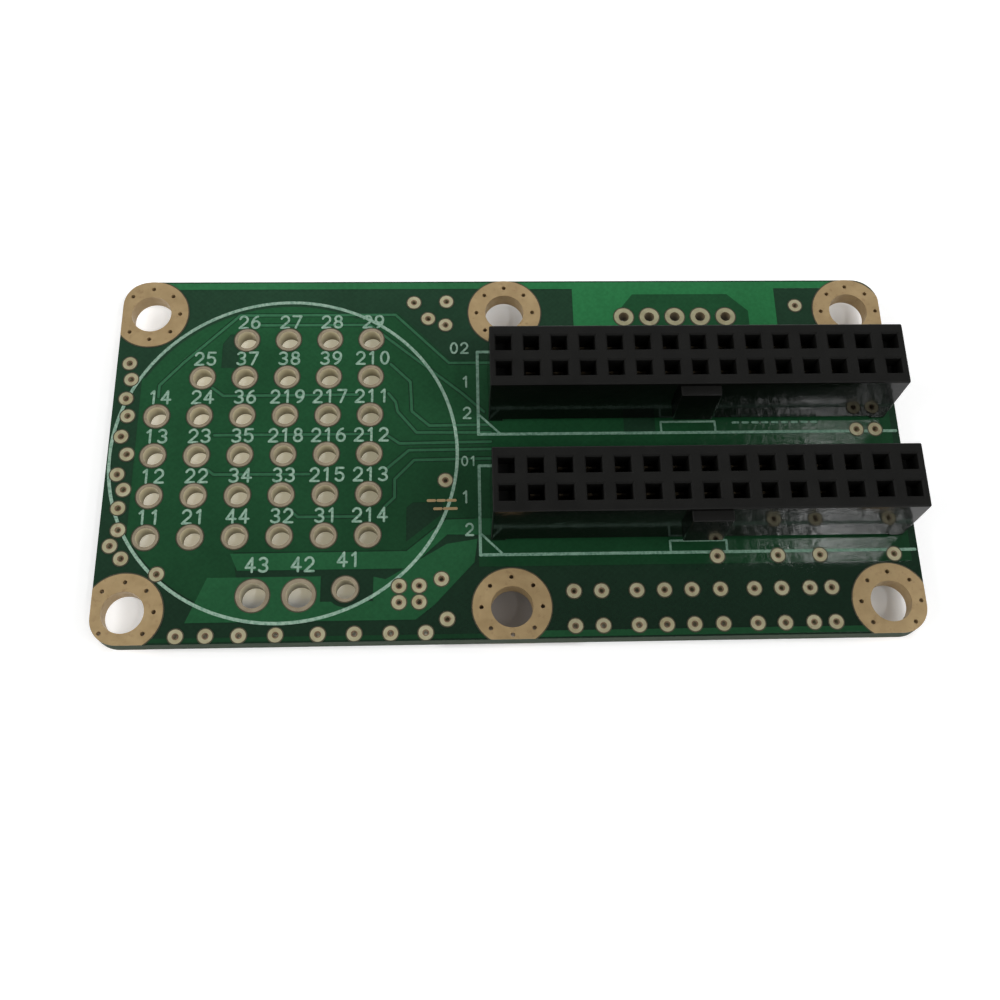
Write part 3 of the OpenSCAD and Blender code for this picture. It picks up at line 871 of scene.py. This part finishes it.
ink = bmesh.new()
for labels, row, rise in zip(ROW_LABELS, wire_rows, ROW_RISE):
    for text, (x, y, _) in zip(labels, row):
        printed(ink, written(text, x + ROW_SHIFT, y + rise), NUMBER_LIFT)
for (text, rise), (x, y, _) in zip(SUPPLY_LABELS, supply_pads):
    printed(ink, written(text, x + SUPPLY_SHIFT, y + rise), NUMBER_LIFT)
for text, x, y, height in SOCKET_LABELS:
    printed(ink, written(text, x, y, height), NUMBER_LIFT)
piece("legend_numbers", ink, INK)

ink = bmesh.new()
printed(ink, [("keep", circle(cx, cy, cr + CIRCLE_W / 2, CIRCLE_SIDES)),
              ("cut", circle(cx, cy, cr - CIRCLE_W / 2, CIRCLE_SIDES))])
piece("legend_circle", ink, INK)

ink = bmesh.new()
for side, (face_y, rear_y) in SOCKETS.items():
    line_y, top_y = face_y - OUTLINE_GAP, rear_y + OUTLINE_GAP
    key_x = mid(f"{side}_socket_housing", 0)
    marks = stroke([(RIGHT - OUTLINE_END, line_y), (OUTLINE_X, line_y), (OUTLINE_X, top_y),
                    (OUTLINE_X + HOOK, top_y)], OUTLINE_W)
    marks += stroke([(OUTLINE_X, line_y + CORNER_MARK), (OUTLINE_X + CORNER_MARK, line_y)],
                    MARK_W)
    marks += stroke([(key_x - NOTCH_X, line_y), (key_x - NOTCH_X, line_y + NOTCH_Y),
                     (key_x + NOTCH_X, line_y + NOTCH_Y), (key_x + NOTCH_X, line_y)], MARK_W)
    printed(ink, marks, OUTLINE_LIFT)
starts = [DASH_X + i * DASH_STEP for i in range(DASHES)]
printed(ink, flat(stroke([(x, DASH_Y), (x + DASH_L, DASH_Y)], DASH_W) for x in starts),
        OUTLINE_LIFT)
piece("legend_sockets", ink, FAINT)

bars = bmesh.new()
slab(flat(stroke([(x0, y), (x1, y)], GOLD_BAR_W) for x0, x1, y in GOLD_BARS),
     lambda k: "keep" in k, TOP - BITE, TOP + INK_H + BAR_LIFT, bars)
piece("gold_bars", bars, GOLD)


# -------------------------------------------------------- floor and lights

FLOOR_HALF = 6.0      # metres
PAPER_FROM, PAPER_TO = 0.08, 0.5      # metres over which the paper goes from grey to white
PAPER_GREY, PAPER_WHITE = (0.40, 0.40, 0.40), (1.0, 1.0, 1.0)
SOFT = 1.2            # width of the soft edges of the painted light and shade patches under the board
# Painted shade: the floor's seen tone under the board.
UNDER_BOARD_PAINTED_SHADE = (0.07, 0.07, 0.07)
FIELD_X, FIELD_Y = (-35.6, -8.5), (-13.6, 15.6)       # painted light below the wire and supply holes
HOLE_PAINTED_LIGHT = [(-34.0, (0.30, 0.265, 0.195)), (-31.5, (0.33, 0.29, 0.21)),
               (-23.0, (0.27, 0.24, 0.17)), (-10.0, (0.175, 0.157, 0.107))]    # painted light seen through the holes, along X
FIELD_GAIN, GAIN_Y = (1.08, 1.5), (-8, 12)            # their factor at two places along Y
CORNER_X, CORNER_Y = (-32.5, -31.5), (11.5, 12.5)     # where the left lands' patches fade
# Painted light below the left lands.
CORNER_PAINTED_LIGHT = (0.42, 0.42, 0.42)
SHADE_X, SHADE_Y = (-7, 7), (FRONT, -8)               # painted shade below the front middle land
# Painted shade there, in the seen tone and in the paper's own tone.
SHADE_TONE, SHADE_PAPER = (0.04, 0.036, 0.032), (0.16, 0.145, 0.135)


def inside_span(m, axis, low, high):
    """1 between two places under the board along an axis, softly 0 outside them."""
    rise = m.grey(axis, 0, 1, low * MM, (low + SOFT) * MM)
    fall = m.grey(axis, 1, 0, (high - SOFT) * MM, high * MM)
    return m.math("MULTIPLY", rise, fall)


def stage_floor():
    """White paper. Under the board it has painted shade and painted light, in the tones that show
    through the open holes.
    """
    low_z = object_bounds()[0][2]
    mesh = bpy.data.meshes.new("floor")
    corners = ((-1, -1), (1, -1), (1, 1), (-1, 1))
    mesh.from_pydata([(i * FLOOR_HALF, j * FLOOR_HALF, low_z) for i, j in corners], [],
                     [(0, 1, 2, 3)])
    m = Maker("floor_paper")
    x, y, _ = m.place()

    def patch(xs, ys):
        return m.math("MULTIPLY", inside_span(m, x, *xs), inside_span(m, y, *ys))

    white = m.ramp(m.noise(30, detail=3), greys((0.3, 0.80), (0.7, 0.84)))
    lit = m.add("ShaderNodeLightPath").outputs
    seen = m.math("MAXIMUM", lit["Is Camera Ray"],
                  m.math("MAXIMUM", lit["Is Glossy Ray"], lit["Is Transmission Ray"]))
    reach = m.add("ShaderNodeVectorMath", operation="LENGTH")
    m.link(m.where, reach.inputs[0])
    far = m.grey(reach.outputs["Value"], 0, 1, PAPER_FROM, PAPER_TO)
    under = patch((LEFT, RIGHT), (FRONT, REAR))
    across = m.grey(x, 0, 1, LEFT * MM, RIGHT * MM)
    below = m.ramp(across, [((px - LEFT) / (RIGHT - LEFT), colour) for px, colour in HOLE_PAINTED_LIGHT])
    below = m.scaled(below, m.grey(y, *FIELD_GAIN, *(v * MM for v in GAIN_Y)))
    corner = m.math("MULTIPLY", m.grey(x, 1, 0, *(v * MM for v in CORNER_X)),
                    m.grey(m.math("ABSOLUTE", y), 0, 1, *(v * MM for v in CORNER_Y)))
    shade = patch(SHADE_X, SHADE_Y)
    paper = m.mix(far, PAPER_GREY, PAPER_WHITE)
    # Painted shade under the board, painted light below the holes and the left lands, and painted
    # shade below the front middle land.
    for share, shown in ((under, UNDER_BOARD_PAINTED_SHADE), (patch(FIELD_X, FIELD_Y), below),
                         (m.math("MULTIPLY", corner, under), CORNER_PAINTED_LIGHT),
                         (shade, SHADE_TONE)):
        paper = m.mix(share, paper, shown)
    # The painted shade below the front middle land darkens the paper's own tone too.
    m.put(Base_Color=m.mix(shade, white, SHADE_PAPER), Roughness=0.9,
          Emission_Color=paper, Emission_Strength=seen)
    mesh.materials.append(m.material)
    floor = placed("floor", mesh)


def softbox(name, place, size, power):
    """A square lamp that faces the origin, in metres and watts."""
    data = bpy.data.lights.new(name, "AREA")
    data.shape = "SQUARE"
    data.size = size
    data.energy = power
    place = Vector(place)
    placed(name, data).matrix_world = (Matrix.Translation(place)
                                       @ (-place).to_track_quat("-Z", "Y").to_matrix().to_4x4())


def studio():
    """White low down and grey overhead, so that glossy faces keep their depth."""
    world = bpy.data.worlds.new("studio")
    bpy.context.scene.world = world
    world.use_nodes = True
    tree = world.node_tree
    tree.nodes.clear()
    kinds = ("OutputWorld", "Background", "Background", "SeparateXYZ", "TexCoord", "ValToRGB",
             "MixShader", "LightPath")
    out, shown, lighting, parts, where, ramp, mix, path = (
        tree.nodes.new("ShaderNode" + kind) for kind in kinds)
    stops = ramp.color_ramp.elements
    stops[0].position, stops[0].color = 0.25, (0.75, 0.75, 0.75, 1)
    stops[1].position, stops[1].color = 0.80, (0.08, 0.08, 0.08, 1)
    shown.inputs["Color"].default_value = (1, 1, 1, 1)
    for source, target in (
            (where.outputs["Generated"], parts.inputs["Vector"]),
            (parts.outputs["Z"], ramp.inputs["Fac"]),
            (ramp.outputs["Color"], lighting.inputs["Color"]),
            (path.outputs["Is Camera Ray"], mix.inputs["Fac"]),
            (lighting.outputs["Background"], mix.inputs[1]),
            (shown.outputs["Background"], mix.inputs[2]),
            (mix.outputs["Shader"], out.inputs["Surface"])):
        tree.links.new(source, target)


stage_floor()
studio()
# The two glints are mirrored in the right ends of the sockets' front faces and in the board.
softbox("glint_front_socket", (0.232, -0.201, 0.60), 0.028, 0.36)
softbox("glint_rear_socket", (0.230, -0.281, 0.60), 0.028, 0.23)
softbox("key_right", (0.50, -0.15, 0.50), 0.30, 1.75)
softbox("fill_left", (-0.60, -0.10, 0.45), 0.45, 2.6)
softbox("rim_rear", (0.05, 0.75, 0.40), 0.50, 2.2)

camera_data = bpy.data.cameras.new("camera")
camera_data.lens = 43.85
camera_data.sensor_width = 36
camera_data.shift_x = -0.0111
camera_data.shift_y = -0.0569
camera_data.clip_start = 0.005
camera = placed("camera", camera_data)
camera.location = Vector((-4.882, -43.313, 107.558)) * MM
camera.rotation_euler = [math.radians(a) for a in (22.708, -2.184, -1.489)]
bpy.context.scene.camera = camera
bpy.context.scene.view_settings.view_transform = "Standard"
